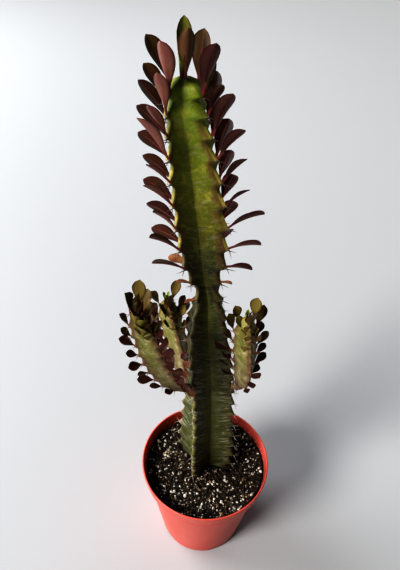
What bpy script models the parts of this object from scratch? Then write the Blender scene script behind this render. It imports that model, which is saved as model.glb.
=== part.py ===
# Potted euphorbia: a four-ribbed succulent stem with three side branches and rows of
# spoon-shaped leaves, in potting soil in a plastic nursery pot. Metres, +Z up, with the
# origin at the middle of the pot's underside.

import math

import bpy
import numpy as np

MM = 0.001
GAP = 0.3 * MM  # clearance between pieces that touch

# pot
POT_HEIGHT = 132 * MM
RIM_RADIUS = 76 * MM
BAND_HEIGHT = 19 * MM
BAND_FOOT_RADIUS = 72.8 * MM
BODY_TOP_RADIUS = 69.8 * MM
BASE_RADIUS = 53 * MM
WALL = 2.0 * MM
LIP = 1.1 * MM  # radius of the rounded edges
DRAIN_COUNT = 5
DRAIN_ANGLE = -68.0  # degrees, the first notch
DRAIN_WIDTH = 16 * MM
DRAIN_HEIGHT = 3.5 * MM
TURN_STEPS = 48

# soil
SOIL_TOP = 116 * MM

# main stem: height, centre x, centre y and rib radius, in millimetres
STEM_STATIONS = np.array((
    (94, 0.0, 11.0, 20.0),
    (104, -0.4, 11.0, 29.5),
    (120, -0.5, 11.0, 33.7),
    (215, -1.0, 10.0, 33.0),
    (281, -2.4, 9.0, 30.7),
    (335, -6.4, 8.3, 27.6),
    (362, -7.4, 8.0, 23.6),
    (382, -8.3, 7.8, 17.6),
    (396, -10.4, 7.5, 15.4),
    (409, -12.8, 7.3, 19.0),
    (430, -14.8, 7.0, 26.2),
    (455, -17.4, 6.6, 29.0),
    (482, -20.8, 6.2, 29.2),
    (514, -25.5, 5.8, 26.8),
    (540, -29.6, 5.4, 22.6),
    (555, -31.6, 5.2, 19.8),
    (565, -32.2, 5.0, 16.0),
    (571, -32.4, 5.0, 11.0),
    (574, -32.4, 5.0, 4.4),
)) * MM
STEM_RIBS = 4
# height, turn of the first rib in degrees, how far each valley leans towards the rib
# before it as a share of the face, and the size of the last rib against the others
STEM_FORM = np.array(
    ((94, -112, 0, 1), (116, -113, 0, 1), (215, -118, 0, 1), (300, -125, 0.03, 1),
     (430, -127, 0.17, 0.88), (600, -127, 0.17, 0.88))
) * (MM, 1, 1, 1)
VALLEY = 0.37  # valley radius over rib radius
TOP_TOOTH = 565 * MM
TOOTH_SPACING = 20 * MM
TOP_SPACING = 12.5 * MM
SPACING_GROWTH = 1.5 * MM
TOOTH_DEPTH = 5 * MM
RINGS_PER_TOOTH = 3

# Branches: the axis as x, y, z in millimetres from the stem's rib to the tip, the turn of
# the first of the ribs in degrees, and the largest rib radius.
BRANCHES = {
    "left_front_branch": {
        "axis": ((-16, -15, 283), (-26, -20, 287), (-36, -23, 298), (-46, -27, 318), (-54, -30, 343),
                 (-60, -33, 371), (-64, -35, 390), (-67, -36, 407)),
        "turn": -38, "rib_radius": 13.2,
    },
    "left_rear_branch": {
        "axis": ((-26, 23, 242), (-31, 30, 257), (-34, 35, 277), (-38, 37, 298), (-44, 38, 324),
                 (-49, 38, 350)),
        "turn": -68, "rib_radius": 14.2,
    },
    "right_branch": {
        "axis": ((21, -5, 275), (27, -8, 281), (31, -10, 292), (32, -11, 308), (31, -12, 327),
                 (29, -12, 350), (27, -12, 378)),
        "turn": -75, "rib_radius": 14.2,
    },
}
BRANCH_RIBS = 3
BRANCH_SPACING = 12.8 * MM
BRANCH_TOOTH = 1.8 * MM
# rib radius along a branch, as shares of its length and of its largest rib radius
BRANCH_TAPER = np.array(
    ((0, 0.30), (0.08, 0.42), (0.2, 0.78), (0.42, 1.0), (0.7, 0.98), (0.88, 0.80), (0.96, 0.5), (1, 0.18))
)

# Leaves of the main stem: one row on each rib, with each leaf's elevation and length from the
# top tooth down. "yaw" turns a leaf away from its rib's direction and "roll" tilts its blade.
LEAF_ROWS = {
    "a": {
        "yaw": -30, "roll": 44, "elevations": (79, 79, 63, 62, 51, 53, 58, 47, 36, 30, 10),
        "lengths": (30, 25, 23, 35, 21, 27, 23, 27, 27, 12, 9),
    },
    "b": {
        "yaw": 14, "roll": -42, "elevations": (75, 68, 72, 60, 60, 55, 49, 37, 24, 20),
        "lengths": (30, 20, 30, 27, 24, 21, 31, 26, 20, 8),
    },
    "c": {
        "yaw": 14, "roll": 0, "elevations": (79, 75, 69, 61, 55, 46, 36, 25, 14, 6),
        "lengths": (31, 28, 30, 28, 30, 25, 27, 26, 21, 10),
    },
    "d": {
        "yaw": 14, "roll": -36, "elevations": (58, 53, 50, 44, 39, 42, 39, 34, 29, 21),
        "lengths": (31, 26, 31, 31, 30, 29, 31, 31, 30, 20),
    },
}
LEAF_WIDTH = 0.40  # over length
LEAF_FOLD = 0.34  # rise of the edges over half width
LEAF_THICKNESS = 1.1 * MM
LEAF_STALK = 1.1 * MM  # half width at the foot
LEAF_STANDOFF = 1.6 * MM
LEAF_DROOP = 26  # degrees that a low leaf bends down towards its tip
LEAF_STATIONS = 7
APEX_LEAVES = ((100, 34, 0.30), (-50, 30, 0.32), (215, 21, 0.32))  # turn, length, width share
# leaves of the branches: name, rib, tooth counted from the tip, length, elevation, yaw
BRANCH_LEAVES = {
    "left_front_branch": (
        (0, 0, 24, 76, 0), (1, 0, 22, 78, 0), (2, 0, 26, 70, -6), (2, 3, 19, 14, 0), (2, 6, 17, 4, 0),
    ),
    "left_rear_branch": ((1, 0, 18, 72, 0), (2, 0, 16, 76, 0)),
    "right_branch": ((0, 1, 20, 48, 34), (1, 0, 20, 66, 0), (1, 4, 18, 14, -24)),
}


def clear_scene():
    for item in list(bpy.data.objects):
        bpy.data.objects.remove(item, do_unlink=True)


def new_collection(name):
    collection = bpy.data.collections.new(name)
    bpy.context.scene.collection.children.link(collection)
    return collection


def new_material(name, colour, roughness):
    material = bpy.data.materials.new(name)
    material.use_nodes = True
    shader = material.node_tree.nodes["Principled BSDF"]
    shader.inputs["Base Color"].default_value = (*colour, 1)
    shader.inputs["Roughness"].default_value = roughness
    shader.inputs["Metallic"].default_value = 0
    return material


def new_object(name, points, faces, collection, material, smooth_angle=40):
    mesh = bpy.data.meshes.new(name)
    mesh.from_pydata(np.asarray(points).tolist(), [], faces)
    mesh.update()
    if material is not None:
        mesh.materials.append(material)
        mesh.shade_smooth()
        mesh.set_sharp_from_angle(angle=math.radians(smooth_angle))
    item = bpy.data.objects.new(name, mesh)
    collection.objects.link(item)
    return item


def smooth(stations, at):
    """Values at `at` on a smooth curve through the stations, whose first column is the place."""
    places, values = stations[:, 0], stations[:, 1:]
    slopes = np.gradient(values, places, axis=0)
    first = np.clip(np.searchsorted(places, at, side="right") - 1, 0, len(places) - 2)
    span = (places[first + 1] - places[first])[:, None]
    t = (np.asarray(at)[:, None] - places[first][:, None]) / span
    start, end = values[first], values[first + 1]
    leave, arrive = slopes[first] * span, slopes[first + 1] * span
    cubic = 2 * start - 2 * end + leave + arrive
    square = 3 * end - 3 * start - 2 * leave - arrive
    return ((cubic * t + square) * t + leave) * t + start


def unit(vectors):
    return vectors / np.linalg.norm(vectors, axis=-1, keepdims=True)


def loft(rings):
    """Faces of a closed tube through rings of equal size, with a fan at either end."""
    count, size = rings.shape[:2]
    points = [*rings.reshape(-1, 3), rings[0].mean(axis=0), rings[-1].mean(axis=0)]
    faces = []
    for ring in range(count - 1):
        for side in range(size):
            here, beside = ring * size + side, ring * size + (side + 1) % size
            faces.append((here, beside, beside + size, here + size))
    foot, head, last = count * size, count * size + 1, (count - 1) * size
    for side in range(size):
        beside = (side + 1) % size
        faces.append((beside, side, foot))
        faces.append((last + side, last + beside, head))
    return points, faces


def ribbed_rings(centres, tangents, radii, turns, phases, ribs, tooth_depth, leans=0.0, last_rib=1.0):
    """Rings of a ribbed stem. Each crest is scalloped, with a tooth where the phase is whole.

    A face's points run from one rib, 0, to the next, 1, closer together near the crests.
    """
    across = unit(np.array((0, 1.0, 0)) - tangents * tangents[:, 1:2])
    right = np.cross(across, tangents)
    place = np.tile((0, 0.09, 0.27, 0.5, 0.73, 0.91), ribs)
    rib = np.repeat(np.arange(ribs), len(place) // ribs)
    ones = np.ones((len(radii), 1))
    leans, last_rib = np.reshape(leans, (-1, 1)) * ones, np.reshape(last_rib, (-1, 1)) * ones
    near_last = (rib == ribs - 1) & (place < 0.5) | (rib == ribs - 2) & (place > 0.5)
    size = np.where(near_last, last_rib, 1.0)
    crest = np.abs(np.cos(math.pi * place)) ** 3.4
    tooth = 0.5 + 0.5 * np.cos(2 * math.pi * phases)
    crest_radii = (radii - tooth_depth * (1 - tooth))[:, None] * size
    valley_radii = (radii * VALLEY)[:, None]
    radius = valley_radii + (crest_radii - valley_radii) * crest
    turned = (rib + place - leans * 4 * place * (1 - place)) * 2 * math.pi / ribs + turns[:, None]
    return (
        centres[:, None]
        + (radius * np.cos(turned))[..., None] * right[:, None]
        + (radius * np.sin(turned))[..., None] * across[:, None]
    )


def tooth_heights():
    """Heights of the teeth from the top one down, with a spacing that grows to its full size."""
    heights, spacing = [TOP_TOOTH], TOP_SPACING
    while heights[-1] - spacing > STEM_STATIONS[0, 0]:
        heights.append(heights[-1] - spacing)
        spacing = min(TOOTH_SPACING, spacing + SPACING_GROWTH)
    return np.array(heights)


def stem_at(heights):
    """Centre, rib radius, turn, lean and last rib's size at these heights on the main stem."""
    heights = np.atleast_1d(heights)
    values, form = smooth(STEM_STATIONS, heights), smooth(STEM_FORM, heights)
    centres = np.column_stack((values[:, :2], heights))
    return centres, values[:, 2], np.radians(form[:, 0]), form[:, 1], form[:, 2]


def stem_mesh(grow=0.0):
    """The main stem, or with `grow` a cutter that is larger all round by that much."""
    teeth = tooth_heights()
    phase = np.arange(len(teeth))
    low, top = STEM_STATIONS[0, 0], STEM_STATIONS[-1, 0]
    steps = np.arange(0, phase[-1] + 0.01, 1 / RINGS_PER_TOOTH)
    heights = np.interp(steps, phase, teeth)[::-1]
    heights = np.concatenate(([low], heights[heights > low + MM], [TOP_TOOTH + 4 * MM, top]))
    phases = np.interp(heights, teeth[::-1], phase[::-1])
    centres, radii, turns, leans, last_rib = stem_at(heights)
    tangents = np.tile((0.0, 0.0, 1.0), (len(heights), 1))
    depth = np.minimum(TOOTH_DEPTH, 0.4 * radii)
    rings = ribbed_rings(centres, tangents, radii, turns, phases, STEM_RIBS, depth, leans, last_rib)
    if grow:
        outward = rings - centres[:, None]
        rings = rings + unit(outward) * grow * 2.5
        rings[0, :, 2] -= grow
        rings[-1, :, 2] += grow
    return loft(rings)


class Branch:
    """A branch's axis, frame and rib radius as functions of the share of its length."""

    def __init__(self, axis, turn, rib_radius):
        points = np.array(axis) * MM
        steps = np.linalg.norm(np.diff(points, axis=0), axis=1)
        along = np.concatenate(([0], np.cumsum(steps)))
        self.length = along[-1]
        self.path = np.column_stack((along / self.length, points))
        self.turn = math.radians(turn)
        self.rib_radius = rib_radius * MM
        self.teeth = int(self.length / BRANCH_SPACING)

    def frame(self, share):
        share = np.atleast_1d(share)
        step = 0.01
        tangents = unit(
            smooth(self.path, np.clip(share + step, 0, 1)) - smooth(self.path, np.clip(share - step, 0, 1))
        )
        radii = smooth(BRANCH_TAPER, share)[:, 0] * self.rib_radius
        return smooth(self.path, share), tangents, radii

    def mesh(self):
        """The loft, with its teeth counted from the tip."""
        share = np.linspace(0, 1, self.teeth * RINGS_PER_TOOTH + 1)
        centres, tangents, radii = self.frame(share)
        turns = np.full(len(share), self.turn)
        depth = np.minimum(BRANCH_TOOTH, 0.3 * radii)
        phases = share * self.teeth + 0.5
        return loft(ribbed_rings(centres, tangents, radii, turns, phases, BRANCH_RIBS, depth))

    def crest(self, rib, tooth):
        """The crest point and outward direction of a tooth counted from the tip."""
        share = 1 - (tooth + 0.5) / self.teeth
        centres, tangents, radii = self.frame(share)
        across = unit(np.array((0, 1.0, 0)) - tangents * tangents[:, 1:2])
        right = np.cross(across, tangents)
        angle = self.turn + rib * 2 * math.pi / BRANCH_RIBS
        outward = (right * math.cos(angle) + across * math.sin(angle))[0]
        return centres[0] + outward * radii[0], outward


def leaf_mesh(foot, turn, elevation, length, width, droop, roll=0.0):
    """A spoon-shaped leaf: a thin, folded section carried along a line that bends downwards."""
    share = np.linspace(0, 1, LEAF_STATIONS)
    rise = np.radians(elevation - droop * share)
    out = np.array((math.cos(turn), math.sin(turn), 0.0))
    tangents = np.cos(rise)[:, None] * out + np.sin(rise)[:, None] * (0, 0, 1.0)
    strides = (tangents[1:] + tangents[:-1]) / 2 * length / (LEAF_STATIONS - 1)
    centres = foot + np.concatenate((np.zeros((1, 3)), np.cumsum(strides, axis=0)))
    side = np.array((-math.sin(turn), math.cos(turn), 0.0))
    normals = np.cross(tangents, side)
    sides = side * math.cos(roll) + normals * math.sin(roll)
    normals = np.cross(tangents, sides)
    blade = share**1.5 * (1.02 - share) ** 0.5
    half = np.maximum(width / 2 * blade / blade.max(), LEAF_STALK * (1 - share) + 0.2 * MM)
    thick = LEAF_THICKNESS / 2 * (1.15 - 0.75 * share)
    # left edge, underside, right edge, upper side
    places = np.stack((-half, 0 * half, half, 0 * half), axis=1)
    lifts = np.stack((LEAF_FOLD * half, -thick, LEAF_FOLD * half, thick), axis=1)
    rings = centres[:, None] + places[..., None] * sides[:, None] + lifts[..., None] * normals[:, None]
    return loft(rings)


def make_pot(collection, cutters, material):
    """A turned shell: inner wall from the floor up, over the lip, outer wall down to the base."""
    band_foot = POT_HEIGHT - BAND_HEIGHT
    quarter = np.radians(np.linspace(0, 90, 4))
    profile = [(0, WALL), (BASE_RADIUS - 3.4 * MM, WALL), (BASE_RADIUS - WALL, WALL + 1.6 * MM)]
    profile += [(BODY_TOP_RADIUS - WALL, band_foot - 2 * MM), (BAND_FOOT_RADIUS - WALL, band_foot + 1.5 * MM)]
    inner_lip = (RIM_RADIUS - 2 * LIP, POT_HEIGHT - LIP)
    profile += [inner_lip, (RIM_RADIUS - LIP, POT_HEIGHT)]
    profile += [
        (RIM_RADIUS - LIP + LIP * math.sin(angle), POT_HEIGHT - LIP + LIP * math.cos(angle))
        for angle in quarter[1:]
    ]
    profile += [(BAND_FOOT_RADIUS + 0.5 * MM, band_foot + 1 * MM), (BAND_FOOT_RADIUS - 0.4 * MM, band_foot)]
    profile += [(BODY_TOP_RADIUS, band_foot - 0.5 * MM)]
    bead = band_foot - 9 * MM
    slope = (BODY_TOP_RADIUS - BASE_RADIUS) / (band_foot - 3 * MM)
    for offset, proud in ((1.4, 0.0), (0.7, 0.45), (-0.7, 0.45), (-1.4, 0.0)):
        height = bead + offset * MM
        profile.append((BASE_RADIUS + slope * (height - 3 * MM) + proud * MM, height))
    profile += [(BASE_RADIUS + 0.1 * MM, 3.4 * MM), (BASE_RADIUS - 0.3 * MM, 1.0 * MM)]
    profile += [(BASE_RADIUS - 1.2 * MM, 0), (0, 0)]
    points = [(radius, 0, height) for radius, height in profile]
    mesh = bpy.data.meshes.new("pot")
    mesh.from_pydata(points, [(i, i + 1) for i in range(len(points) - 1)], [])
    pot = bpy.data.objects.new("pot", mesh)
    collection.objects.link(pot)
    mesh.materials.append(material)
    turn_round(pot)
    for index in range(DRAIN_COUNT):
        angle = math.radians(DRAIN_ANGLE) + index * 2 * math.pi / DRAIN_COUNT
        bpy.ops.mesh.primitive_cube_add(size=1)
        cutter = bpy.context.object
        cutter.name = f"drain_cutter_{index + 1}"
        cutter.scale = (12 * MM, DRAIN_WIDTH, 2 * DRAIN_HEIGHT)
        cutter.location = (BASE_RADIUS * math.cos(angle), BASE_RADIUS * math.sin(angle), 0)
        cutter.rotation_euler = (0, 0, angle)
        as_cutter(cutter, cutters)
        cut(pot, cutter)
    return pot


def turn_round(item):
    """Turns the item's profile round Z into a closed body with smooth sides."""
    screw = item.modifiers.new("turned", "SCREW")
    screw.angle = 2 * math.pi
    screw.steps = screw.render_steps = TURN_STEPS
    screw.use_merge_vertices = True
    screw.merge_threshold = 0.00001
    screw.use_smooth_shade = True


def as_cutter(item, cutters):
    for collection in list(item.users_collection):
        collection.objects.unlink(item)
    cutters.objects.link(item)
    item.display_type = "WIRE"
    item.hide_render = True


def cut(item, cutter):
    boolean = item.modifiers.new("cut by " + cutter.name, "BOOLEAN")
    boolean.operation = "DIFFERENCE"
    boolean.solver = "EXACT"
    boolean.object = cutter


def make_soil(collection, material, stem_cutter):
    """Soil up to just under the rim, a little higher round the stem, with a socket for its foot."""
    band_foot = POT_HEIGHT - BAND_HEIGHT
    slack = WALL + 2 * GAP
    top_radius = BAND_FOOT_RADIUS - slack - 0.2 * MM
    profile = [(0, SOIL_TOP + 1.0 * MM), (24 * MM, SOIL_TOP + 1.0 * MM), (40 * MM, SOIL_TOP)]
    profile += [(56 * MM, SOIL_TOP + 0.4 * MM), (top_radius - 4 * MM, SOIL_TOP - 0.4 * MM)]
    profile += [(top_radius, SOIL_TOP - 1.0 * MM), (BODY_TOP_RADIUS - slack, band_foot - 3 * MM)]
    profile += [(BASE_RADIUS - slack, WALL + 2.2 * MM), (BASE_RADIUS - 4.2 * MM, WALL + GAP), (0, WALL + GAP)]
    points = [(radius, 0, height) for radius, height in profile]
    mesh = bpy.data.meshes.new("soil")
    mesh.from_pydata(points, [(i, i + 1) for i in range(len(points) - 1)], [])
    soil = bpy.data.objects.new("soil", mesh)
    collection.objects.link(soil)
    mesh.materials.append(material)
    turn_round(soil)
    cut(soil, stem_cutter)
    return soil


def make_leaves(collection, materials):
    """The main stem's rows, the young leaves of its tip, and the outer leaves of the branches."""
    wobble = np.random.default_rng(11)
    teeth = tooth_heights()
    for rib, (row, values) in enumerate(LEAF_ROWS.items()):
        count = len(values["lengths"])
        centres, radii, turns, _, last_rib = stem_at(teeth[:count])
        if rib == STEM_RIBS - 1:
            radii = radii * last_rib
        for level, length in enumerate(values["lengths"]):
            rib_turn = turns[level] + rib * math.pi / 2
            outward = np.array((math.cos(rib_turn), math.sin(rib_turn), 0.0))
            foot = centres[level] + outward * (radii[level] + LEAF_STANDOFF)
            foot[2] += 1.5 * MM
            turn = rib_turn + math.radians(values["yaw"])
            elevation = values["elevations"][level]
            droop = LEAF_DROOP * min(1, level / 6)
            roll = math.radians(values["roll"] * (1 - level / 14) + wobble.uniform(-10, 10))
            width = length * MM * LEAF_WIDTH
            points, faces = leaf_mesh(foot, turn, elevation, length * MM, width, droop, roll)
            name = f"leaf_{row}{level + 1:02d}"
            new_object(name, points, faces, collection, materials["leaf"], 60)
    tip = stem_at(STEM_STATIONS[-1:, 0])[0][0]
    for index, (turn, length, width) in enumerate(APEX_LEAVES):
        turn = math.radians(turn)
        foot = tip + np.array((math.cos(turn), math.sin(turn), 0)) * 3 * MM + (0, 0, 1.8 * MM)
        points, faces = leaf_mesh(foot, turn, 84, length * MM, length * MM * width, 4)
        name = f"apex_leaf_{index + 1}"
        new_object(name, points, faces, collection, materials["young_leaf"], 60)


def make_branches(collection, materials, stem_cutter):
    for name, values in BRANCHES.items():
        branch = Branch(values["axis"], values["turn"], values["rib_radius"])
        points, faces = branch.mesh()
        item = new_object(name, points, faces, collection, materials["branch"])
        cut(item, stem_cutter)
        for index, (rib, tooth, length, elevation, yaw) in enumerate(BRANCH_LEAVES[name]):
            crest, outward = branch.crest(rib, tooth)
            turn = math.atan2(outward[1], outward[0]) + math.radians(yaw)
            foot = crest + outward * LEAF_STANDOFF
            width = length * MM * LEAF_WIDTH
            points, faces = leaf_mesh(foot, turn, elevation, length * MM, width, 8)
            leaf_name = name.replace("branch", f"leaf_{index + 1}")
            new_object(leaf_name, points, faces, collection, materials["leaf"], 60)


def main():
    clear_scene()
    parts = new_collection("potted_euphorbia")
    cutters = new_collection("cutters")
    materials = {
        "pot": new_material("coral_plastic", (0.72, 0.10, 0.07), 0.45),
        "soil": new_material("potting_soil", (0.02, 0.014, 0.010), 0.95),
        "stem": new_material("stem_skin", (0.11, 0.15, 0.03), 0.5),
        "branch": new_material("branch_skin", (0.24, 0.28, 0.09), 0.5),
        "leaf": new_material("maroon_leaf", (0.10, 0.025, 0.025), 0.45),
        "young_leaf": new_material("green_leaf", (0.10, 0.20, 0.03), 0.45),
    }
    points, faces = stem_mesh()
    new_object("main_stem", points, faces, parts, materials["stem"])
    points, faces = stem_mesh(grow=GAP)
    stem_cutter = new_object("stem_cutter", points, faces, cutters, None)
    as_cutter(stem_cutter, cutters)
    make_pot(parts, cutters, materials["pot"])
    make_soil(parts, materials["soil"], stem_cutter)
    make_branches(parts, materials, stem_cutter)
    make_leaves(parts, materials)


main()
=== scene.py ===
import math

import bmesh
import bpy
import numpy as np
from mathutils import Matrix, Vector


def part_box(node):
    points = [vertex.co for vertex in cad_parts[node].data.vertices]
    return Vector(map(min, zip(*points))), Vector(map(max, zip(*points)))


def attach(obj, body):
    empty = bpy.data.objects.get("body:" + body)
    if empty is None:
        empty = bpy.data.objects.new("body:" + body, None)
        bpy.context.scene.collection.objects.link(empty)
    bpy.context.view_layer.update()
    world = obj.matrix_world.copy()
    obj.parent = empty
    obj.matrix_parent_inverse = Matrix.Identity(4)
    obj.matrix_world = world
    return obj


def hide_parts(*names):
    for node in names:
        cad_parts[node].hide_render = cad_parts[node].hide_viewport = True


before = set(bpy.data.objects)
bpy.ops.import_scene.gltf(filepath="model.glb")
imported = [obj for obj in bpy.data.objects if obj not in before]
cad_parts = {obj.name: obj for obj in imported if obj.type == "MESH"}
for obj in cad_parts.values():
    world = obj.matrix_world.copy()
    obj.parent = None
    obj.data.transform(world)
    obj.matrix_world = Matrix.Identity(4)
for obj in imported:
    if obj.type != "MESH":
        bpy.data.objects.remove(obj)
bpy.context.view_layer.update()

# Potted euphorbia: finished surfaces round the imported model. Metres, +Z up.

mm = 0.001
potLow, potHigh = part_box("pot")
soilLow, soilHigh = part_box("soil")
print("frame loaded, pot", [round(v, 4) for v in potHigh])


def unit(vectors):
    # each vector over its own length
    return vectors / np.linalg.norm(vectors, axis=-1, keepdims=True)


def equalTurns(count):
    # this many equal steps round a full circle
    return np.linspace(0, 2 * math.pi, count, endpoint=False)


def compass(turn):
    # level unit vectors at these turns about Z
    return np.stack((np.cos(turn), np.sin(turn), 0 * turn), axis=-1)


def revolve(profile, steps):
    # every point of the profile, a radius and a height, carried round Z in equal steps: one ring for each
    return compass(equalTurns(steps)) * profile[:, None, :1] + profile[:, None, 1:] * (0, 0, 1)


def smoothCurve(stations, at):
    # cubic through the stations: column 0 is the place, slopes are the averaged differences
    places, values = stations[:, 0], stations[:, 1:]
    slopes = np.gradient(values, places, axis=0)
    first = np.clip(np.searchsorted(places, at, side="right") - 1, 0, len(places) - 2)
    span = (places[first + 1] - places[first])[:, None]
    t = (np.asarray(at)[:, None] - places[first][:, None]) / span
    start, end = values[first], values[first + 1]
    leave, arrive = slopes[first] * span, slopes[first + 1] * span
    cubic = 2 * start - 2 * end + leave + arrive
    square = 3 * end - 3 * start - 2 * leave - arrive
    return ((cubic * t + square) * t + leave) * t + start


def softStep(value, low, high):
    # 0 below low, 1 above high, and 3t^2 - 2t^3 between them
    t = np.clip((value - low) / (high - low), 0, 1)
    return t * t * (3 - 2 * t)


def tubeFaces(tubes, rings, size):
    # quads between neighbouring rings of every tube, and one many-sided face over each end
    tube, point = np.arange(tubes)[:, None, None] * rings * size, np.arange(size)
    ring = tube + np.arange(rings - 1)[:, None] * size
    here, beside = ring + point, ring + (point + 1) % size
    faces = np.stack((here, beside, beside + size, here + size), axis=-1).reshape(-1, 4).tolist()
    foot, head = tube[:, 0] + point[::-1], tube[:, 0] + (rings - 1) * size + point
    return faces + foot.tolist() + head.tolist()


def framed(tangents):
    # two directions across a path, square to its tangents: to the right (+X) and to the back (+Y)
    back = unit(np.array((0, 1.0, 0)) - tangents * tangents[:, 1:2])
    return np.cross(back, tangents), back


def newObject(name, data):
    # an object in the scene that holds this mesh, lamp or camera
    holder = bpy.data.objects.new(name, data)
    bpy.context.scene.collection.objects.link(holder)
    return holder


def newPiece(name, points, faces, material, replaced=(), sharpAngle=50, attributes=None):
    # one mesh object at the origin, with float or vector attributes on its points
    mesh = bpy.data.meshes.new(name)
    points = np.asarray(points).reshape(-1, 3)
    mesh.from_pydata(points.tolist(), [], faces)
    for label, values in (attributes or {}).items():
        values = np.asarray(values, dtype=np.float32)
        if values.size == len(points):
            mesh.attributes.new(label, "FLOAT", "POINT").data.foreach_set("value", values.ravel())
        else:
            mesh.attributes.new(label, "FLOAT_VECTOR", "POINT").data.foreach_set("vector", values.ravel())
    mesh.update()
    mesh.shade_smooth()
    mesh.set_sharp_from_angle(angle=math.radians(sharpAngle))
    mesh.materials.append(material)
    piece = newObject(name, mesh)
    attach(piece, "root")
    if replaced:
        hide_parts(*replaced)
    return piece


class Recipe:
    # builds one node material; every method adds a node and gives back its output socket
    def __init__(self, name):
        self.material = bpy.data.materials.new(name)
        self.material.use_nodes = True
        self.tree = self.material.node_tree
        self.shader = self.tree.nodes["Principled BSDF"]

    def tools(self):
        # the five that are used most, under short names
        return self.mix, self.ramp, self.times, self.noise, self.place

    def link(self, source, target):
        # a socket is wired to the target; a colour or number becomes its fixed value
        if isinstance(source, bpy.types.NodeSocket):
            self.tree.links.new(source, target)
        elif hasattr(target.default_value, "__len__") and len(target.default_value) == 4:
            target.default_value = (*source, 1)
        else:
            target.default_value = source

    def node(self, kind, output, inputs, **settings):
        # a node of this kind with its settings, and its inputs linked by name or number
        node = self.tree.nodes.new("ShaderNode" + kind)
        for label, value in settings.items():
            setattr(node, label, value)
        for label, value in inputs.items():
            self.link(value, node.inputs[label])
        return node.outputs[output]

    def attribute(self, label, output="Fac"):
        # the value that the mesh carries at each point
        return self.node("Attribute", output, {}, attribute_name=label)

    def place(self, scale=(1, 1, 1), source=None):
        # object coordinates, or the given vector, in metres times scale
        source = source or self.node("TexCoord", "Object", {})
        return self.node("Mapping", "Vector", {"Vector": source, "Scale": scale})

    def noise(self, vector, scale, detail=3, roughness=0.5, distortion=0.0):
        # cloudy 0..1 pattern with scale waves to the metre
        inputs = {"Vector": vector, "Scale": scale, "Detail": detail, "Roughness": roughness}
        return self.node("TexNoise", "Fac", {**inputs, "Distortion": distortion})

    def cells(self, vector, scale):
        # distance to the nearest of many random points
        return self.node("TexVoronoi", "Distance", {"Vector": vector, "Scale": scale})

    def math(self, kind, first, second, clamp=False):
        # first and second joined by the named operation
        return self.node("Math", 0, {0: first, 1: second}, operation=kind, use_clamp=clamp)

    def times(self, product, *factors):
        # all of them multiplied together
        for factor in factors:
            product = self.math("MULTIPLY", product, factor)
        return product

    def ramp(self, value, low, high, start=0.0, end=1.0):
        # smooth step from start to end as value goes from low to high
        inputs = {"Value": value, "From Min": low, "From Max": high, "To Min": start, "To Max": end}
        return self.node("MapRange", "Result", inputs, interpolation_type="SMOOTHSTEP")

    def mix(self, share, first, second):
        # (1 - share) x first + share x second
        return self.node("Mix", "Result", {"Factor": share, "A": first, "B": second}, data_type="RGBA")

    def bump(self, height, depth, strength=1.0, under=None):
        # normal tilted by the height's slope, depth metres for a full step, over the normal under it
        inputs = {"Height": height, "Distance": depth, "Strength": strength}
        return self.node("Bump", "Normal", {**inputs, "Normal": under} if under else inputs)

    def finish(self, colour, roughness, normal=None, **constants):
        # wires the shader, and sets the constants on its own sockets
        inputs = {"Base Color": colour, "Roughness": roughness, **({"Normal": normal} if normal else {})}
        for label, value in {**inputs, **constants}.items():
            self.link(value, self.shader.inputs[label.replace("_", " ")])
        return self.material


potShape = {
    "steps": 192,
    "rimRadius": 76.0, "height": 132.0, "bandHeight": 19.0, "bandFootRadius": 72.8,
    "bodyTopRadius": 69.8, "baseRadius": 53.0, "wall": 2.0, "lip": 1.1,
    "drains": 5, "drainTurn": -68.0, "drainWidth": 16.0, "drainHeight": 3.5, "drainDepth": 12.0,
    "drainBevel": 1.2,
    # heights and radii of the middle of the wall; the dust inside fades over these heights above the soil
    "wallMiddle": ((2, 111, 114.5, 131), (52, 68.7, 71.8, 74.8)), "dustFade": (1, 13),
}


def potMaterial():
    # coral plastic: faint cloudiness, moulding lines round the body, fine orange peel, soil dust low inside
    recipe = Recipe("coral_plastic_moulded")
    mix, ramp, times, noise, place = recipe.tools()
    cloud = noise(place((1, 1, 0.5)), 16, 3)
    fine = noise(place(), 900, 2)
    rings = noise(place((4, 4, 900)), 1, 2)
    colour = mix(ramp(cloud, 0.3, 0.75), (0.63, 0.132, 0.100), (0.57, 0.108, 0.079))
    dust = noise(place(), 220, 4, 0.65)
    inside = recipe.attribute("inside")
    smear = times(inside, ramp(dust, 0.36, 0.54))
    colour = mix(smear, colour, (0.055, 0.020, 0.014))
    scuff = ramp(noise(place((1, 1, 3)), 120, 5, 0.7), 0.60, 0.72)
    colour = mix(times(scuff, 0.22), colour, (0.86, 0.28, 0.22))
    roughness = recipe.math("ADD", ramp(cloud, 0.2, 0.8, 0.36, 0.46), times(smear, 0.4))
    grain = recipe.bump(fine, 0.00008)
    normal = recipe.bump(rings, 0.00012, under=grain)
    return recipe.finish(colour, roughness, normal, Subsurface_Weight=0.06, Subsurface_Scale=0.004)


def arcPoints(centre, radius, fromDegrees, toDegrees, count):
    # points on a circle's arc in the profile plane: centre plus radius times (cos, sin)
    angle = np.radians(np.linspace(fromDegrees, toDegrees, count))
    return np.column_stack((centre[0] + radius * np.cos(angle), centre[1] + radius * np.sin(angle)))


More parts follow.
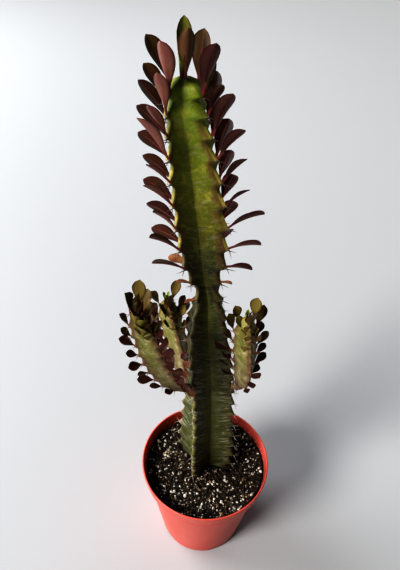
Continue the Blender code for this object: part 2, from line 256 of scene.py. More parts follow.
def potProfile(s):
    # inner wall from the floor up, over the lip, then down the band, the step and the body to the base
    rim, base, wall, lip, top = (s[key] for key in ("rimRadius", "baseRadius", "wall", "lip", "height"))
    bandRadius, bodyTop, bandFoot = s["bandFootRadius"], s["bodyTopRadius"], top - s["bandHeight"]
    bodyRadius = lambda height: base + (bodyTop - base) / (bandFoot - 3) * (height - 3)
    bodyHeights = np.concatenate((
        np.linspace(bandFoot - 3, bandFoot - 7, 3), [bandFoot - 11.5], np.linspace(90, 8, 9)))
    bead = arcPoints((bodyRadius(bandFoot - 9) - 0.35, bandFoot - 9), 0.95, 65, -65, 7)
    body = np.column_stack((bodyRadius(bodyHeights), bodyHeights))
    parts = [
        [(0.02, wall), (20, wall), (base - 5, wall)],
        arcPoints((base - 4.6, wall + 2.4), 2.4, -80, -6, 5),
        [(bodyRadius(bandFoot * share) - wall, bandFoot * share) for share in (0.15, 0.5, 0.85)],
        [(bodyTop - wall, bandFoot - 2), (bandRadius - wall, bandFoot + 1.5), (rim - lip * 2 - 0.3, top - 4)],
        arcPoints((rim - lip, top - lip), lip, 180, 0, 10),
        [(rim - 0.25, top - 2.4), (bandRadius + 1.7, top - 9)],
        arcPoints((bandRadius - 0.75, bandFoot + 0.85), 0.85, 10, -80, 5),
        arcPoints((bodyTop + 0.7, bandFoot - 0.8), 0.7, 90, 180, 4),
        body[:3], bead, body[3:],
        arcPoints((base - 1.5, 1.6), 1.6, -5, -85, 6),
        [(20, 0), (0.02, 0)],
    ]
    return np.concatenate([np.asarray(part, dtype=float).reshape(-1, 2) for part in parts]) * mm


def makePot(s):
    # the profile turned round Z in equal steps, then the drain notches cut through its foot
    rings = revolve(potProfile(s)[::-1], s["steps"])
    faces = tubeFaces(1, len(rings), s["steps"])
    pot = newPiece("pot_shell", rings, faces, potMaterial(), ["pot"], 40)
    for index in range(s["drains"]):
        turn = math.radians(s["drainTurn"]) + index * 2 * math.pi / s["drains"]
        bpy.ops.mesh.primitive_cube_add(size=1)
        cutter = bpy.context.object
        size = Matrix.Diagonal((s["drainDepth"] * mm, s["drainWidth"] * mm, 2 * s["drainHeight"] * mm, 1))
        move = Matrix.Translation(compass(turn) * s["baseRadius"] * mm)
        cutter.data.transform(move @ Matrix.Rotation(turn, 4, "Z") @ size)
        bevelled = bmesh.new()
        bevelled.from_mesh(cutter.data)
        edges = [e for e in bevelled.edges if e.verts[0].co.z > 0 and e.verts[1].co.z > 0]
        bmesh.ops.bevel(bevelled, geom=edges, offset=s["drainBevel"] * mm, segments=3, affect="EDGES")
        bevelled.to_mesh(cutter.data)
        bevelled.free()
        notch = pot.modifiers.new("notch", "BOOLEAN")
        notch.object = cutter
        notch.solver = "EXACT"
        bpy.context.view_layer.update()
        cutMesh = bpy.data.meshes.new_from_object(pot.evaluated_get(bpy.context.evaluated_depsgraph_get()))
        pot.modifiers.clear()
        pot.data = cutMesh
        bpy.data.objects.remove(cutter, do_unlink=True)
    places = np.empty(len(pot.data.vertices) * 3, dtype=np.float32)
    pot.data.vertices.foreach_get("co", places)
    places = places.reshape(-1, 3)
    radius, height = np.hypot(places[:, 0], places[:, 1]), places[:, 2]
    wallHeights, wallRadii = np.array(s["wallMiddle"]) * mm
    fadeFrom, fadeTo = (soilHigh[2] + rise * mm for rise in s["dustFade"])
    inside = (radius < np.interp(height, wallHeights, wallRadii)) * (1 - softStep(height, fadeFrom, fadeTo))
    pot.data.attributes.new("inside", "FLOAT", "POINT").data.foreach_set("value", inside.astype(np.float32))
    pot.data.shade_smooth()
    pot.data.set_sharp_from_angle(angle=math.radians(35))


makePot(potShape)
print("pot made")


mainStem = {
    # height, centre x, centre y, rib radius
    "stations": np.array((
        (94, 0.0, 11.0, 20.0), (104, -0.4, 11.0, 29.5), (120, -0.5, 11.0, 33.7), (215, -1.0, 10.0, 33.0),
        (281, -2.4, 9.0, 30.7), (335, -6.4, 8.3, 27.6), (362, -7.4, 8.0, 23.6), (382, -8.3, 7.8, 17.6),
        (396, -10.4, 7.5, 15.4), (409, -12.8, 7.3, 19.0), (430, -14.8, 7.0, 26.2), (455, -17.4, 6.6, 29.0),
        (482, -20.8, 6.2, 29.2), (514, -25.5, 5.8, 26.8), (540, -29.6, 5.4, 22.6), (555, -31.6, 5.2, 19.8),
        (565, -32.2, 5.0, 16.0), (571, -32.4, 5.0, 11.0), (574, -32.4, 5.0, 4.4))) * mm,
    # height, turn of the first rib, lean of each valley, size of the last rib
    "form": np.array((
        (94, -112, 0, 1), (116, -113, 0, 1), (215, -118, 0, 1), (300, -125, 0.03, 1),
        (430, -127, 0.17, 0.88), (600, -127, 0.17, 0.88))) * (mm, 1, 1, 1),
    "ribs": 4, "valley": 0.35, "tipValley": 0.60, "crestWidth": 1.7 * mm, "flank": 1.0,
    "toothReach": 3.6 * mm, "reachRadius": 30 * mm, "toothDepth": 4.2 * mm, "upperDepth": 1.0 * mm,
    "topTooth": 565 * mm, "spacing": 20 * mm, "topSpacing": 12.5 * mm, "growth": 1.5 * mm,
    "ringsPerTooth": 18, "pointsPerFace": 26, "tipRings": 8,
    # heights between which the deeper teeth, the shallower valleys and the tip without a margin begin
    "deeperFrom": (0.36, 0.43), "tipFrom": (0.525, 0.565), "marginUpTo": (0.535, 0.560),
    # heights, and how old the skin is there: 0 young, 1 old
    "ages": ((0.12, 0.24, 0.38, 0.42, 0.455, 0.50, 0.57), (1.0, 0.91, 0.85, 0.82, 0.62, 0.30, 0.0)),
}

branches = {
    "left_front_branch": {
        "axis": ((-16, -15, 283), (-26, -20, 287), (-36, -23, 298), (-46, -27, 318), (-54, -30, 343),
                 (-60, -33, 371), (-64, -35, 390), (-67, -36, 407)),
        "turn": -38, "ribRadius": 13.2,
    },
    "left_rear_branch": {
        "axis": ((-26, 23, 242), (-31, 30, 257), (-34, 35, 277), (-38, 37, 298), (-44, 38, 324),
                 (-49, 38, 350)),
        "turn": -68, "ribRadius": 14.2,
    },
    "right_branch": {
        "axis": ((21, -5, 275), (27, -8, 281), (31, -10, 292), (32, -11, 308), (31, -12, 327),
                 (29, -12, 350), (27, -12, 378)),
        "turn": -75, "ribRadius": 14.2,
    },
}
branchForm = {
    "ribs": 3, "valley": 0.46, "crestWidth": 0.9 * mm, "flank": 0.95,
    "toothReach": 1.3 * mm, "reachRadius": 9 * mm, "toothDepth": 2.4 * mm, "spacing": 12.8 * mm,
    "ringsPerTooth": 14, "pointsPerFace": 22,
    # share of the length, and the rib radius over its full size there
    "taper": np.array((
        (0, 0.30), (0.08, 0.42), (0.2, 0.78), (0.42, 1.0), (0.7, 0.98), (0.88, 0.80), (0.96, 0.5),
        (1, 0.18))),
    "ages": ((0, 0.12, 0.30, 0.55, 0.85, 1.0), (1.0, 0.97, 0.80, 0.55, 0.35, 0.0)),
}


def toothRise(phase):
    # 1 at a tooth's tip; phase counts teeth from the top down. Below a tip the crest drops to its lowest
    # point as (1 - p/notch)^1.6, and then grows out to the next tip as the rest of the way ^1.5
    down, notch = phase % 1.0, 0.30
    return np.where(down < notch, (1 - np.minimum(down / notch, 1)) ** 1.6,
                    (np.maximum(down - notch, 0) / (1 - notch)) ** 1.5)


def marginShare(phase):
    # 1 along the upper edge of a tooth, from the notch above it to just before its tip
    down = phase % 1.0
    return softStep(down, 0.38, 0.60) * (1 - softStep(down, 0.94, 0.99))


def ribbedSurface(centres, tangents, radii, turns, phases, form, depths, valleys, leans=None, lastRib=None):
    # rings across the path. Along one face, inward goes from 0 at a rib's crest to 1 in the valley and back.
    # A rib is a fin: its half width grows with the flank power of the way in from the crest's radius to the
    # valley's. Its crest is cut back by the depth below each tooth, and blends into the flank as an
    # exponential of the way in from there. A lean slides the valley toward the rib before it
    count = len(radii)
    leans = np.zeros(count) if leans is None else leans
    lastRib = np.ones(count) if lastRib is None else lastRib
    right, across = framed(tangents)
    ribs, faceHalf = form["ribs"], form["pointsPerFace"] // 2
    step = 2 * math.pi / ribs
    inward = np.linspace(0, 1, faceHalf + 1) ** 1.25
    inward = np.tile(np.concatenate((inward, inward[-2:0:-1])), ribs)
    side = np.tile(np.repeat((1, -1), (faceHalf + 1, faceHalf - 1)), ribs)
    rib = np.repeat(np.arange(ribs), 2 * faceHalf)
    nearLast = (rib == ribs - 1) & (side > 0) | (rib == ribs - 2) & (side < 0)
    tooth = toothRise(phases)
    crest = radii[:, None] * np.where(nearLast, lastRib[:, None], 1.0)
    edge = crest - (depths * np.minimum(1, radii / (14 * mm)) * (1 - tooth))[:, None]
    valleyX = (radii * valleys * math.cos(step / 2))[:, None]
    valleyY = (radii * valleys * math.sin(step / 2))[:, None]
    x = edge + (valleyX - edge) * inward
    tip = form["crestWidth"] * np.minimum(1, radii / (10 * mm))[:, None]
    half = tip * (0.8 + 0.2 * tooth[:, None])
    flank = lambda way: tip + (valleyY - tip) * ((crest - way) / (crest - valleyX)) ** form["flank"]
    rounding = np.sqrt(np.clip(1 - (1 - np.clip(inward / 0.06, 0, 1)) ** 2, 0, 1))
    reach = form["toothReach"] * np.minimum(1, radii / form["reachRadius"])[:, None] ** 1.5
    y = flank(x) - (flank(edge) - half) * np.exp((x - edge) / reach) - half * (1 - rounding)
    radius, angle = np.hypot(x, y), np.arctan2(y, x)
    share = np.where(side > 0, angle / step, 1 - angle / step)
    turned = (rib + share - leans[:, None] * 4 * share * (1 - share)) * step + turns[:, None]
    flat = np.stack((radius * np.cos(turned), radius * np.sin(turned)), axis=-1)
    rings = centres[:, None] + flat[..., :1] * right[:, None] + flat[..., 1:] * across[:, None]
    return rings, flat, np.broadcast_to(inward, radius.shape), np.broadcast_to(tooth[:, None], radius.shape)


def toothHeights(s):
    # heights of the teeth from the top one down, with a spacing that grows to its full size
    heights, spacing = [s["topTooth"]], s["topSpacing"]
    while heights[-1] - spacing > s["stations"][0, 0]:
        heights.append(heights[-1] - spacing)
        spacing = min(s["spacing"], spacing + s["growth"])
    return np.array(heights)


def stemAt(s, heights):
    # centre, rib radius, turn, lean and last rib's size at these heights on the main stem
    heights = np.atleast_1d(heights)
    values, form = smoothCurve(s["stations"], heights), smoothCurve(s["form"], heights)
    centres = np.column_stack((values[:, :2], heights))
    return centres, values[:, 2], np.radians(form[:, 0]), form[:, 1], form[:, 2]


def mainCrest(s, rib, heights):
    # at these heights: the main stem's centre, this rib's turn and direction, and its radius
    centres, radii, turns, _, lastRib = stemAt(s, heights)
    turns = turns + rib * 2 * math.pi / s["ribs"]
    return centres, turns, compass(turns), radii * (lastRib if rib == s["ribs"] - 1 else 1)


class Branch:
    # a branch's axis, frame and rib radius as functions of the share of its length
    def __init__(self, axis, turn, ribRadius):
        # path: share of the length, then the place
        points = np.array(axis) * mm
        along = np.concatenate(([0], np.cumsum(np.linalg.norm(np.diff(points, axis=0), axis=1))))
        self.length = along[-1]
        self.path = np.column_stack((along / self.length, points))
        self.turn = math.radians(turn)
        self.ribRadius = ribRadius * mm
        self.teeth = int(self.length / branchForm["spacing"])

    def frame(self, share):
        # places on the axis, its directions there and the rib radii
        share = np.atleast_1d(share)
        ahead, behind = np.clip(share + 0.01, 0, 1), np.clip(share - 0.01, 0, 1)
        tangents = unit(smoothCurve(self.path, ahead) - smoothCurve(self.path, behind))
        radii = smoothCurve(branchForm["taper"], share)[:, 0] * self.ribRadius
        return smoothCurve(self.path, share), tangents, radii

    def around(self, angles, teeth, reach=1.0):
        # points at the given angles about the axis and reach times the rib radius, with their outward
        # directions and tangents; teeth are counted from the tip
        centres, tangents, radii = self.frame(1 - (teeth + 0.5) / self.teeth)
        right, across = framed(tangents)
        outward = right * np.cos(angles)[:, None] + across * np.sin(angles)[:, None]
        return centres + outward * radii[:, None] * reach, outward, tangents

    def crests(self, rib, teeth):
        # the same on one rib's crest
        angle = self.turn + rib * 2 * math.pi / branchForm["ribs"]
        return self.around(np.full(len(teeth), angle), teeth)


def skinMaterial(name, look):
    # stem skin: young to old colour along the stem, near-black over the main stem's middle heights, pale
    # feathered mottling, fine wrinkles that run across the faces with a painted highlight on their ridges,
    # maroon along the crests, a tint on the teeth's upper edges that is a cream painted highlight on the main
    # stem, and grey cork at the teeth
    recipe = Recipe(name)
    mix, ramp, times, noise, place = recipe.tools()
    skin = recipe.attribute("skin", "Vector")
    inward, tooth, old = recipe.attribute("inward"), recipe.attribute("tooth"), recipe.attribute("old")
    broad = noise(place((1, 1, 0.6), skin), 70, 4, 0.6)
    feather = noise(place((1, 1, 1.5), skin), look["grain"], 6, 0.75, 0.4)
    patch = noise(place((1, 1, 1.2), skin), 80, 6, 0.72, 0.6)
    wrinkle = noise(place((0.45, 0.45, 3.2), skin), 170, 5, 0.66, 0.9)
    rib = noise(place((0.5, 0.5, 3.0), skin), 105, 4, 0.6, 1.1)
    speck = noise(place(source=skin), 900, 3, 0.6)
    colour = mix(ramp(old, 0.0, 0.45), look["young"], look["middle"])
    # on the main stem a near-black band over its middle heights, darker than the skin above and below; on the
    # branches a brown tone
    colour = mix(ramp(old, 0.42, 0.82), colour, look["lowerTone"])
    colour = mix(ramp(old, 0.86, 0.97), colour, look["old"])
    fleck = recipe.math("MAXIMUM", ramp(feather, 0.48, 0.66, 0.0, 0.55), ramp(patch, 0.46, 0.66))
    oldMottle = look["mottle"] * look["oldMottle"]
    pale = times(fleck, ramp(inward, 0.02, 0.30, 0.35, 1.0), ramp(old, 0.4, 0.9, look["mottle"], oldMottle))
    colour = mix(pale, colour, look["pale"])
    colour = mix(times(ramp(broad, 0.48, 0.7), 0.5), colour, look["shade"])
    valley = ramp(inward, 0.45, 1.0, 0, look["creaseShare"])
    crease = times(valley, ramp(broad, 0.3, 0.6, 0.5, 1), ramp(old, 0.80, 0.95, 0.45, 1.0))
    colour = mix(crease, colour, look["crease"])
    nearCrest, onOld = ramp(inward, 0.35, 0.85, 1.0, 0.15), ramp(old, 0.84, 0.93, 0.0, look["streakShare"])
    streaks = times(ramp(rib, 0.50, 0.60), nearCrest, onOld)
    # pale colour on the wrinkles' ridge tops is a painted highlight; the streaks near the crests of old skin
    # are grey streaks of the skin
    lines = recipe.math("MAXIMUM", times(ramp(wrinkle, 0.52, 0.62), look["lineShare"]), streaks)
    colour = mix(lines, colour, look["line"])
    blushEdge = recipe.math("ADD", inward, ramp(broad, 0.25, 0.75, 0.14, -0.14))
    blush = times(
        ramp(blushEdge, 0.02, look["blushWidth"], 1, 0), look["blush"], ramp(inward, 0.02, 0.12, 0.35, 1.0),
        ramp(old, 0.5, 1.0, 1.0, 0.35), ramp(feather, 0.40, 0.60, 1.0, 0.55),
        ramp(old, 0.0, 0.14, look["tipBlush"], 1.0))
    colour = mix(blush, colour, look["edge"])
    # the teeth's upper edges: on the main stem a cream painted highlight where they face up to the light, on
    # the branches a pink-brown tint
    band = times(
        recipe.attribute("edgeTintAndHighlight"), ramp(inward, 0.02, 0.06, 1, 0), ramp(broad, 0.36, 0.54, 0.35, 1.0),
        ramp(old, 0.55, 0.8, look["marginShare"], 0.12))
    colour = mix(band, colour, look["edgeTintAndHighlight"])
    cork = times(ramp(tooth, 0.88, 0.99), ramp(inward, 0.015, 0.07, 1, 0))
    colour = mix(cork, colour, look["cork"])
    colour = mix(ramp(speck, 0.35, 0.65, 0.0, 0.16), colour, look["speck"])
    roughness = ramp(feather, 0.3, 0.7, look["gloss"], look["gloss"] + 0.18)
    grain = recipe.bump(speck, 0.00010, 0.6)
    ridges = recipe.bump(wrinkle, look["wrinkleDepth"], under=grain)
    normal = recipe.bump(broad, 0.0006, 0.6, under=ridges)
    return recipe.finish(colour, roughness, normal, Specular_IOR_Level=0.35)


mainSkin = {
    # the third colour is near-black: the main stem's band over its middle heights
    "young": (0.170, 0.240, 0.016), "middle": (0.135, 0.138, 0.012), "lowerTone": (0.020, 0.028, 0.013),
    "old": (0.046, 0.064, 0.024), "pale": (0.420, 0.390, 0.070), "mottle": 0.70, "oldMottle": 0.22,
    "shade": (0.050, 0.085, 0.005), "grain": 240, "crease": (0.190, 0.185, 0.045), "creaseShare": 0.70,
    "line": (0.300, 0.295, 0.215), "lineShare": 0.32, "streakShare": 0.85,
    "edge": (0.150, 0.042, 0.028), "blush": 0.90, "blushWidth": 0.42, "tipBlush": 0.2,
    # first on this line: the cream painted highlight along the teeth's upper edges
    "edgeTintAndHighlight": (0.560, 0.465, 0.130), "marginShare": 0.85, "cork": (0.330, 0.280, 0.220),
    "speck": (0.20, 0.17, 0.07), "gloss": 0.46, "wrinkleDepth": 0.00055,
}
branchSkin = {
    "young": (0.340, 0.325, 0.040), "middle": (0.205, 0.205, 0.040), "lowerTone": (0.195, 0.152, 0.078),
    "old": (0.110, 0.050, 0.045), "pale": (0.570, 0.525, 0.310), "mottle": 0.80, "oldMottle": 0.50,
    "shade": (0.060, 0.078, 0.012), "grain": 300, "crease": (0.170, 0.160, 0.040), "creaseShare": 0.3,
    "line": (0.340, 0.290, 0.200), "lineShare": 0.40, "streakShare": 0.5,
    "edge": (0.150, 0.042, 0.050), "blush": 0.95, "blushWidth": 0.58, "tipBlush": 1.0,
    "edgeTintAndHighlight": (0.300, 0.170, 0.130), "marginShare": 0.5, "cork": (0.170, 0.110, 0.095),
    "speck": (0.22, 0.18, 0.09), "gloss": 0.48, "wrinkleDepth": 0.0004,
}


def skinPiece(name, surface, along, old, edgeTintAndHighlight, tip, material):
    # the piece from ribbedSurface's grids; along is the place on the stem, and the skin's pattern runs a
    # little further up in the valleys. At the tip share 1 the teeth's cork is gone
    rings, flat, inward, tooth = surface
    attributes = {
        "skin": np.concatenate((flat, along[..., None]), axis=-1), "inward": inward,
        "tooth": tooth * (1 - tip)[:, None], "old": np.broadcast_to(old[:, None], inward.shape),
        "edgeTintAndHighlight": np.broadcast_to(edgeTintAndHighlight[:, None], inward.shape),
    }
    faces = tubeFaces(1, *rings.shape[:2])
    newPiece(name + "_skin", rings, faces, material, [name], 60, attributes)


def makeMainStem(s):
    # the ribbed surface over all heights, rings evenly spaced between the teeth
    teeth = toothHeights(s)
    phase = np.arange(len(teeth))
    steps = np.arange(0, phase[-1] + 0.001, 1 / s["ringsPerTooth"])
    tipHeights = np.linspace(s["topTooth"], s["stations"][-1, 0], s["tipRings"] + 1)[1:]
    heights = np.concatenate((np.interp(steps, phase, teeth)[::-1], tipHeights))
    phases = np.concatenate((steps[::-1], np.zeros(s["tipRings"])))
    centres, radii, turns, leans, lastRib = stemAt(s, heights)
    tangents = np.tile((0.0, 0.0, 1.0), (len(heights), 1))
    depths = s["toothDepth"] + s["upperDepth"] * softStep(heights, *s["deeperFrom"])
    valleys = s["valley"] + (s["tipValley"] - s["valley"]) * softStep(heights, *s["tipFrom"])
    surface = ribbedSurface(centres, tangents, radii, turns, phases, s, depths, valleys, leans, lastRib)
    along = heights[:, None] + 0.30 * radii[:, None] * surface[2]
    edgeTintAndHighlight = marginShare(phases) * (1 - softStep(heights, *s["marginUpTo"]))
    tip = softStep(heights, s["topTooth"] - 1 * mm, s["topTooth"] + 2 * mm)
    material = skinMaterial("stem_skin_weathered", mainSkin)
    skinPiece("main_stem", surface, along, np.interp(heights, *s["ages"]), edgeTintAndHighlight, tip, material)


def makeBranches():
    # the ribbed surface carried along each branch's axis, begun a little inside the main stem's rib
    material, f = skinMaterial("branch_skin_pale", branchSkin), branchForm
    made = {}
    for name, values in branches.items():
        branch = made[name] = Branch(values["axis"], values["turn"], values["ribRadius"])
        share = np.linspace(0, 1, branch.teeth * f["ringsPerTooth"] + 1)
        centres, tangents, radii = branch.frame(share)
        phases = (1 - share) * branch.teeth - 0.5
        turns = np.full(len(share), branch.turn)
        surface = ribbedSurface(centres, tangents, radii, turns, phases, f, f["toothDepth"], f["valley"])
        along = share[:, None] * branch.length + 0.25 * radii[:, None] * surface[2] + len(made)
        old = np.interp(share, *f["ages"])
        skinPiece(name, surface, along, old, marginShare(phases), 0 * share, material)
    return made


makeMainStem(mainStem)
madeBranches = makeBranches()
print("stems made")


leafShape = {
    "stations": 17, "around": 16, "widthShare": 0.43, "stalk": 1.15 * mm, "thickness": 0.9 * mm,
    "fold": 0.36, "keel": 0.5 * mm, "wave": 0.05, "rise": 1.55, "fall": 0.72,
    # on the main stem: full droop below this tooth, random roll, and how young the top leaves of the rear
    # rows are, less for every tooth below; leaves from the spent tooth down are dry
    "droop": 26, "droopTeeth": 6, "rollSpread": 20, "young": 0.20, "youngFall": 0.05, "youngRows": "cd",
    "spentTooth": 9, "spent": 0.8,
}
leafRows = {
    # the piece's name, rib, yaw from the rib's direction, roll toward the front, tone range, and from the
    # top tooth down each leaf's elevation and length
    # row b on the shaded right side has the darkest tones, a painted shade; within each row the tone varies
    # at random
    "a": {
        "title": "leaves_front_left",
        "rib": 0, "yaw": -30, "roll": 44, "tonesAndShade": (0.45, 1.0),
        "elevations": (79, 79, 63, 62, 51, 53, 58, 47, 36, 30, 10),
        "lengths": (33, 28, 26, 38, 24, 30, 26, 30, 30, 15, 12),
    },
    "b": {
        "title": "leaves_right",
        "rib": 1, "yaw": 14, "roll": -42, "tonesAndShade": (0.0, 0.22),
        "elevations": (75, 68, 72, 60, 60, 55, 49, 37, 24, 20),
        "lengths": (33, 23, 33, 30, 27, 24, 34, 29, 23, 11),
    },
    "c": {
        "title": "leaves_back_right",
        "rib": 2, "yaw": 14, "roll": 0, "tonesAndShade": (0.0, 0.5),
        "elevations": (79, 75, 69, 61, 55, 46, 36, 25, 14, 6),
        "lengths": (34, 31, 33, 31, 33, 28, 30, 29, 24, 13),
    },
    "d": {
        "title": "leaves_back_left",
        "rib": 3, "yaw": 14, "roll": -14, "tonesAndShade": (0.3, 0.9),
        "elevations": (58, 53, 50, 44, 39, 42, 39, 34, 29, 21),
        "lengths": (34, 29, 34, 34, 33, 32, 34, 34, 33, 23),
    },
}
# turn, length, width over length, greenness
tipLeaves = ((100, 34, 0.30, 0.75), (-72, 30, 0.38, 0.22), (215, 21, 0.36, 0.85), (150, 26, 0.30, 1.0))
branchLeafForm = {
    "length": 14, "tipLength": 21, "widthShare": 0.52, "tipElevation": 76, "elevation": 8, "footLeaves": 1,
    # tiny leaves at the very tip; the crown reaches down this many teeth. Size and elevation fade to the
    # lower leaves' over the fading teeth
    "tipCount": 3, "tipSize": 8.5, "tipRise": (74, 86), "crownDepth": 2.6, "fadingTeeth": 3.6,
    # young at the tip, less for each tooth below, with a random part, and more in the crown
    "young": 0.52, "youngFall": 0.13, "youngSpread": 0.25, "crownYoung": 0.34,
    # tone, the largest tone of a branch leaf, is kept low so the leaves come out darker: painted shade
    "riseSpread": 24, "crownRise": 12, "droop": 14, "tone": 0.40, "spentTeeth": 3.5, "spent": 0.3,
    "crown": {"left_front_branch": 20, "left_rear_branch": 12, "right_branch": 8},
    "nodes": {"left_front_branch": 5, "left_rear_branch": 2, "right_branch": 3},
    # what differs from the large leaves
    "shape": {"stations": 11, "around": 10, "stalk": 0.6 * mm, "thickness": 0.7 * mm, "keel": 0.3 * mm},
}


def leafMaterial():
    # leaf: dark maroon blade over olive, rosy midrib and base, green where young, orange-brown where spent
    recipe = Recipe("maroon_leaf_waxy")
    mix, ramp, times, noise, place = recipe.tools()
    across, along = recipe.attribute("across"), recipe.attribute("along")
    under, young = recipe.attribute("under"), recipe.attribute("young")
    tone, spent = recipe.attribute("tone"), recipe.attribute("spent")
    spot = place()
    cloud = noise(spot, 140, 4, 0.6)
    speck = noise(spot, 1500, 2, 0.6)
    # tone darkens the blade and the rosy underside; the low tones of row b and of the branch leaves are
    # painted shade
    blade = mix(tone, (0.046, 0.014, 0.017), (0.100, 0.040, 0.029))
    blade = mix(ramp(cloud, 0.4, 0.75, 0.0, 0.6), blade, (0.090, 0.065, 0.020))
    below = mix(ramp(cloud, 0.35, 0.7), (0.255, 0.098, 0.087), (0.245, 0.130, 0.084))
    blade = mix(times(under, ramp(tone, 0.0, 1.0, 0.25, 1.0)), blade, below)
    green = mix(ramp(cloud, 0.35, 0.7), (0.120, 0.180, 0.020), (0.240, 0.290, 0.060))
    blade = mix(ramp(young, 0.02, 0.55), blade, (0.225, 0.178, 0.050))
    blade = mix(ramp(young, 0.55, 0.95), blade, green)
    blade = mix(ramp(across, 0.62, 1.0, 0.0, 0.85), blade, (0.055, 0.014, 0.014))
    width = ramp(along, 0.0, 0.9, 0.30, 0.06)
    rib = recipe.math("DIVIDE", across, width)
    rosy = mix(ramp(young, 0.2, 0.9), (0.290, 0.080, 0.078), (0.280, 0.300, 0.100))
    midrib = times(ramp(rib, 0.35, 1.0, 1.0, 0.0), ramp(along, 0.75, 1.0, 0.80, 0.2))
    colour = mix(midrib, blade, rosy)
    colour = mix(ramp(along, 0.02, 0.32, 0.8, 0.0), colour, (0.260, 0.050, 0.060))
    dry = mix(ramp(cloud, 0.35, 0.65), (0.210, 0.085, 0.040), (0.360, 0.175, 0.085))
    colour = mix(spent, colour, dry)
    colour = mix(ramp(speck, 0.4, 0.7, 0.0, 0.12), colour, (0.22, 0.14, 0.11))
    roughness = ramp(cloud, 0.3, 0.7, 0.38, 0.52)
    veins = noise(place(), 420, 2, 0.5)
    grain = recipe.bump(speck, 0.00006, 0.5)
    normal = recipe.bump(veins, 0.00035, 0.7, under=grain)
    return recipe.finish(colour, roughness, normal, Specular_IOR_Level=0.22)


def leafSurfaces(foot, turn, elevation, length, width, droop, roll, fold, wave, form):
    # a lens-shaped section, folded up along its edges, carried along a line that bends downwards; the
    # half width is share^rise * (1 - share)^fall, and the stalk keeps it open at the foot
    share = np.linspace(0, 1, form["stations"]) ** 0.92
    bend = np.radians(elevation[:, None] - droop[:, None] * share)
    out = compass(turn)[:, None]
    tangents = np.cos(bend)[..., None] * out + np.sin(bend)[..., None] * np.array((0, 0, 1.0))
    strides = (tangents[:, 1:] + tangents[:, :-1]) / 2 * np.diff(share)[:, None] * length[:, None, None]
    centres = foot[:, None] + np.concatenate((0 * strides[:, :1], np.cumsum(strides, axis=1)), axis=1)
    side = compass(turn + math.pi / 2)[:, None]
    normals = np.cross(tangents, side)
    twist = roll[:, None, None] * (0.4 + 0.6 * share[:, None])
    sides = side * np.cos(twist) + normals * np.sin(twist)
    normals = np.cross(tangents, sides)
    blade = share ** form["rise"] * (1 - share) ** form["fall"]
    stalk = form["stalk"] * (1 - share) ** 0.7 + 0.12 * mm
    half = np.maximum(width[:, None] / 2 * blade / blade.max(), stalk)
    thick = form["thickness"] / 2 * (1.25 - 0.75 * share) * np.clip((1 - share) / 0.08 + 0.25, 0, 1)
    turnRound = equalTurns(form["around"])
    across, above = np.cos(turnRound)[::-1], np.sin(turnRound)[::-1]
    ripple = wave[:, None] * np.sin(9 * share + 5 * roll[:, None])
    lift = fold[:, None, None] * np.abs(across) ** 1.5 + ripple[..., None] * across * np.abs(across)
    lift = lift * half[..., None]
    keel = form["keel"] * (1 - 0.8 * share)[None, :, None] * np.exp(-(across / 0.2) ** 2) * (above < -0.2)
    lift = lift + thick[None, :, None] * above * (1 - 0.5 * np.abs(across)) - keel
    rings = centres[:, :, None] + (across * half[..., None])[..., None] * sides[:, :, None]
    rings = rings + lift[..., None] * normals[:, :, None]
    shape = rings.shape[:3]
    return rings, {
        "across": np.broadcast_to(np.abs(across), shape), "under": np.broadcast_to(above < 0, shape),
        "along": np.broadcast_to(share[None, :, None], shape),
    }


def makeLeaves(name, places, material, replaced, form):
    # one piece from many leaves; places holds one array for each quantity of a leaf
    values = {key: np.asarray(value, dtype=float) for key, value in places.items()}
    count = len(values["length"])
    rings, attributes = leafSurfaces(
        values["foot"], values["turn"], values["elevation"], values["length"], values["width"],
        values["droop"], values["roll"], values["fold"], values["wave"], form)
    shape = rings.shape[:3]
    for label in ("young", "tone", "spent"):
        attributes[label] = np.broadcast_to(values[label][:, None, None], shape)
    faces = tubeFaces(count, shape[1], shape[2])
    newPiece(name, rings, faces, material, replaced, 70, attributes)


def mainLeafPlaces(rows, s):
    # every row's leaves, at the teeth of its rib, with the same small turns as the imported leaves
    wobble, looks = np.random.default_rng(11), np.random.default_rng(5)
    teeth, f = toothHeights(s), leafShape
    for row, values in rows.items():
        lengths = np.array(values["lengths"], dtype=float) * mm
        count = len(lengths)
        centres, ribTurn, outward, radii = mainCrest(s, values["rib"], teeth[:count])
        draws, level = wobble.random(count), np.arange(count)
        more, (light, dark) = looks.random((count, 4)), values["tonesAndShade"]
        roll = values["roll"] * (1 - level / 14) + f["rollSpread"] * (draws - 0.5)
        yield row, {
            "foot": centres + outward * (radii[:, None] - 1.2 * mm) + np.array((0, 0, 1.6 * mm)),
            "turn": ribTurn + np.radians(values["yaw"]), "elevation": np.array(values["elevations"]),
            "length": lengths, "width": lengths * f["widthShare"],
            "droop": f["droop"] * np.minimum(1, level / f["droopTeeth"]), "roll": np.radians(roll),
            "fold": f["fold"] * (0.6 + 0.8 * more[:, 0]), "wave": f["wave"] * more[:, 1],
            "young": np.clip(f["young"] - f["youngFall"] * level, 0, 1) * (row in f["youngRows"]),
            "tone": light + (dark - light) * more[:, 3], "spent": (level >= f["spentTooth"]) * f["spent"],
        }


def leavesRound(tip, turn, reach, drop, **values):
    # leaves that stand round a stem's tip; every other value is one number, or one for each leaf
    values = {key: np.broadcast_to(value, len(turn)) for key, value in values.items()}
    return {"foot": tip + compass(turn) * reach - (0, 0, drop), "turn": turn, **values}


